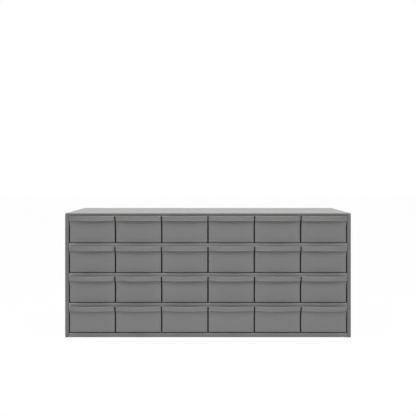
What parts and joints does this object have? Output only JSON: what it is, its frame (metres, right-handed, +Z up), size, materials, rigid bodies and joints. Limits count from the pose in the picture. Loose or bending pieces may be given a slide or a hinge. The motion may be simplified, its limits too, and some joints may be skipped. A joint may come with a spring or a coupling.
{
  "type": "small parts drawer cabinet",
  "caption": "Wide low steel cabinet holding a grid of identical shallow drawers, each with a flared lip across its front as the pull, for sorting small parts.",
  "frame": {"origin": "centre of the bounding box in plan, on the surface the cabinet stands on", "axes": "+X to the right of someone facing the drawers, +Y towards the back, +Z up; drawers open along -Y"},
  "size_m": [0.857, 0.317, 0.3722],
  "materials": {
    "cabinet_enamel": "grey baked enamel, satin",
    "drawer_enamel": "grey baked enamel, satin"
  },
  "bodies": {
    "cabinet": {"cabinet_shell": "cabinet_enamel", "back_panel": "cabinet_enamel", "base_panel": "cabinet_enamel", "side_liners": "cabinet_enamel", "shelf_1": "cabinet_enamel", "shelf_2": "cabinet_enamel", "shelf_3": "cabinet_enamel", "partition_1": "cabinet_enamel", "partition_2": "cabinet_enamel", "partition_3": "cabinet_enamel", "partition_4": "cabinet_enamel", "partition_5": "cabinet_enamel"},
    "drawer_r1c1": {"tray_r1c1": "drawer_enamel", "front_r1c1": "drawer_enamel"},
    "drawer_r1c2": {"tray_r1c2": "drawer_enamel", "front_r1c2": "drawer_enamel"},
    "drawer_r1c3": {"tray_r1c3": "drawer_enamel", "front_r1c3": "drawer_enamel"},
    "drawer_r1c4": {"tray_r1c4": "drawer_enamel", "front_r1c4": "drawer_enamel"},
    "drawer_r1c5": {"tray_r1c5": "drawer_enamel", "front_r1c5": "drawer_enamel"},
    "drawer_r1c6": {"tray_r1c6": "drawer_enamel", "front_r1c6": "drawer_enamel"},
    "drawer_r2c1": {"tray_r2c1": "drawer_enamel", "front_r2c1": "drawer_enamel"},
    "drawer_r2c2": {"tray_r2c2": "drawer_enamel", "front_r2c2": "drawer_enamel"},
    "drawer_r2c3": {"tray_r2c3": "drawer_enamel", "front_r2c3": "drawer_enamel"},
    "drawer_r2c4": {"tray_r2c4": "drawer_enamel", "front_r2c4": "drawer_enamel"},
    "drawer_r2c5": {"tray_r2c5": "drawer_enamel", "front_r2c5": "drawer_enamel"},
    "drawer_r2c6": {"tray_r2c6": "drawer_enamel", "front_r2c6": "drawer_enamel"},
    "drawer_r3c1": {"tray_r3c1": "drawer_enamel", "front_r3c1": "drawer_enamel"},
    "drawer_r3c2": {"tray_r3c2": "drawer_enamel", "front_r3c2": "drawer_enamel"},
    "drawer_r3c3": {"tray_r3c3": "drawer_enamel", "front_r3c3": "drawer_enamel"},
    "drawer_r3c4": {"tray_r3c4": "drawer_enamel", "front_r3c4": "drawer_enamel"},
    "drawer_r3c5": {"tray_r3c5": "drawer_enamel", "front_r3c5": "drawer_enamel"},
    "drawer_r3c6": {"tray_r3c6": "drawer_enamel", "front_r3c6": "drawer_enamel"},
    "drawer_r4c1": {"tray_r4c1": "drawer_enamel", "front_r4c1": "drawer_enamel"},
    "drawer_r4c2": {"tray_r4c2": "drawer_enamel", "front_r4c2": "drawer_enamel"},
    "drawer_r4c3": {"tray_r4c3": "drawer_enamel", "front_r4c3": "drawer_enamel"},
    "drawer_r4c4": {"tray_r4c4": "drawer_enamel", "front_r4c4": "drawer_enamel"},
    "drawer_r4c5": {"tray_r4c5": "drawer_enamel", "front_r4c5": "drawer_enamel"},
    "drawer_r4c6": {"tray_r4c6": "drawer_enamel", "front_r4c6": "drawer_enamel"}
  },
  "joints": [
    {"name": "drawer_r1c1_slide", "type": "slide", "parent": "cabinet", "child": "drawer_r1c1", "axis": [0, -1, 0], "range_m": [0, 0.222]},
    {"name": "drawer_r1c2_slide", "type": "slide", "parent": "cabinet", "child": "drawer_r1c2", "axis": [0, -1, 0], "range_m": [0, 0.222]},
    {"name": "drawer_r1c3_slide", "type": "slide", "parent": "cabinet", "child": "drawer_r1c3", "axis": [0, -1, 0], "range_m": [0, 0.222]},
    {"name": "drawer_r1c4_slide", "type": "slide", "parent": "cabinet", "child": "drawer_r1c4", "axis": [0, -1, 0], "range_m": [0, 0.222]},
    {"name": "drawer_r1c5_slide", "type": "slide", "parent": "cabinet", "child": "drawer_r1c5", "axis": [0, -1, 0], "range_m": [0, 0.222]},
    {"name": "drawer_r1c6_slide", "type": "slide", "parent": "cabinet", "child": "drawer_r1c6", "axis": [0, -1, 0], "range_m": [0, 0.222]},
    {"name": "drawer_r2c1_slide", "type": "slide", "parent": "cabinet", "child": "drawer_r2c1", "axis": [0, -1, 0], "range_m": [0, 0.222]},
    {"name": "drawer_r2c2_slide", "type": "slide", "parent": "cabinet", "child": "drawer_r2c2", "axis": [0, -1, 0], "range_m": [0, 0.222]},
    {"name": "drawer_r2c3_slide", "type": "slide", "parent": "cabinet", "child": "drawer_r2c3", "axis": [0, -1, 0], "range_m": [0, 0.222]},
    {"name": "drawer_r2c4_slide", "type": "slide", "parent": "cabinet", "child": "drawer_r2c4", "axis": [0, -1, 0], "range_m": [0, 0.222]},
    {"name": "drawer_r2c5_slide", "type": "slide", "parent": "cabinet", "child": "drawer_r2c5", "axis": [0, -1, 0], "range_m": [0, 0.222]},
    {"name": "drawer_r2c6_slide", "type": "slide", "parent": "cabinet", "child": "drawer_r2c6", "axis": [0, -1, 0], "range_m": [0, 0.222]},
    {"name": "drawer_r3c1_slide", "type": "slide", "parent": "cabinet", "child": "drawer_r3c1", "axis": [0, -1, 0], "range_m": [0, 0.222]},
    {"name": "drawer_r3c2_slide", "type": "slide", "parent": "cabinet", "child": "drawer_r3c2", "axis": [0, -1, 0], "range_m": [0, 0.222]},
    {"name": "drawer_r3c3_slide", "type": "slide", "parent": "cabinet", "child": "drawer_r3c3", "axis": [0, -1, 0], "range_m": [0, 0.222]},
    {"name": "drawer_r3c4_slide", "type": "slide", "parent": "cabinet", "child": "drawer_r3c4", "axis": [0, -1, 0], "range_m": [0, 0.222]},
    {"name": "drawer_r3c5_slide", "type": "slide", "parent": "cabinet", "child": "drawer_r3c5", "axis": [0, -1, 0], "range_m": [0, 0.222]},
    {"name": "drawer_r3c6_slide", "type": "slide", "parent": "cabinet", "child": "drawer_r3c6", "axis": [0, -1, 0], "range_m": [0, 0.222]},
    {"name": "drawer_r4c1_slide", "type": "slide", "parent": "cabinet", "child": "drawer_r4c1", "axis": [0, -1, 0], "range_m": [0, 0.222]},
    {"name": "drawer_r4c2_slide", "type": "slide", "parent": "cabinet", "child": "drawer_r4c2", "axis": [0, -1, 0], "range_m": [0, 0.222]},
    {"name": "drawer_r4c3_slide", "type": "slide", "parent": "cabinet", "child": "drawer_r4c3", "axis": [0, -1, 0], "range_m": [0, 0.222]},
    {"name": "drawer_r4c4_slide", "type": "slide", "parent": "cabinet", "child": "drawer_r4c4", "axis": [0, -1, 0], "range_m": [0, 0.222]},
    {"name": "drawer_r4c5_slide", "type": "slide", "parent": "cabinet", "child": "drawer_r4c5", "axis": [0, -1, 0], "range_m": [0, 0.222]},
    {"name": "drawer_r4c6_slide", "type": "slide", "parent": "cabinet", "child": "drawer_r4c6", "axis": [0, -1, 0], "range_m": [0, 0.222]}
  ]
}
